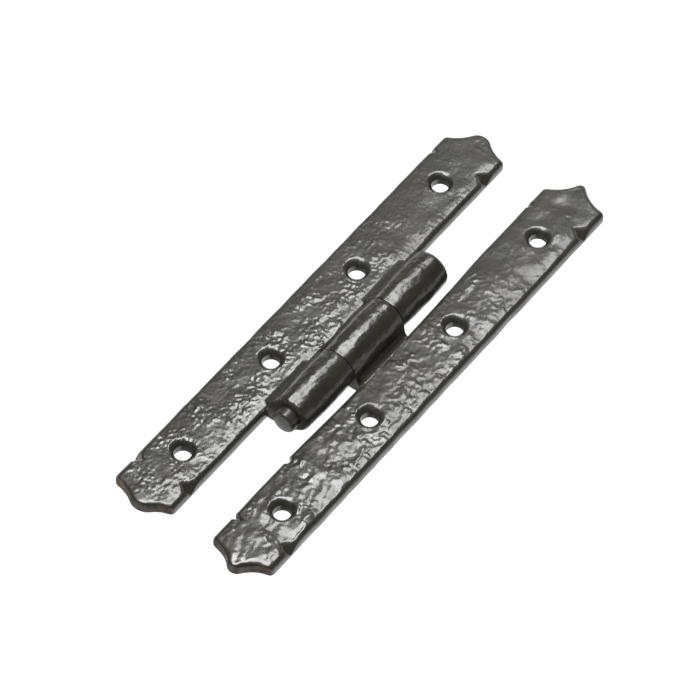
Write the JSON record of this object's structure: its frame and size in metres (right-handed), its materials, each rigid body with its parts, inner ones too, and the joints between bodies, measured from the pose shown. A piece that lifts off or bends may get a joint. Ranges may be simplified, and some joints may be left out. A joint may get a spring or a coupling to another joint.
{
  "type": "h hinge",
  "caption": "Cast-iron surface hinge with two long narrow leaves, scalloped ends, countersunk screw holes and a three-knuckle barrel on a fixed pin; it hangs a door on a frame.",
  "frame": {"origin": "Under the middle of the pin's axis, on the plane of the leaves' backs", "axes": "+Z out of the front of the leaves, +Y along the pin away from its proud end, +X towards the leaf with the centre knuckle; the hinge lies open and flat on its back"},
  "size_m": [0.059, 0.182, 0.014],
  "materials": {
    "blackened_iron": "rough-cast front under glossy black lacquer",
    "pin_steel": "blackened, worn bare on the end face"
  },
  "bodies": {
    "fixed_leaf": {"outer_knuckle_leaf": "blackened_iron", "hinge_pin": "pin_steel"},
    "swing_leaf": {"centre_knuckle_leaf": "blackened_iron"}
  },
  "joints": [
    {"name": "leaf_swing", "type": "hinge", "parent": "fixed_leaf", "child": "swing_leaf", "pos_m": [0, 0, 0.007], "axis": [0, -1, 0], "range_deg": [-90, 180]}
  ]
}
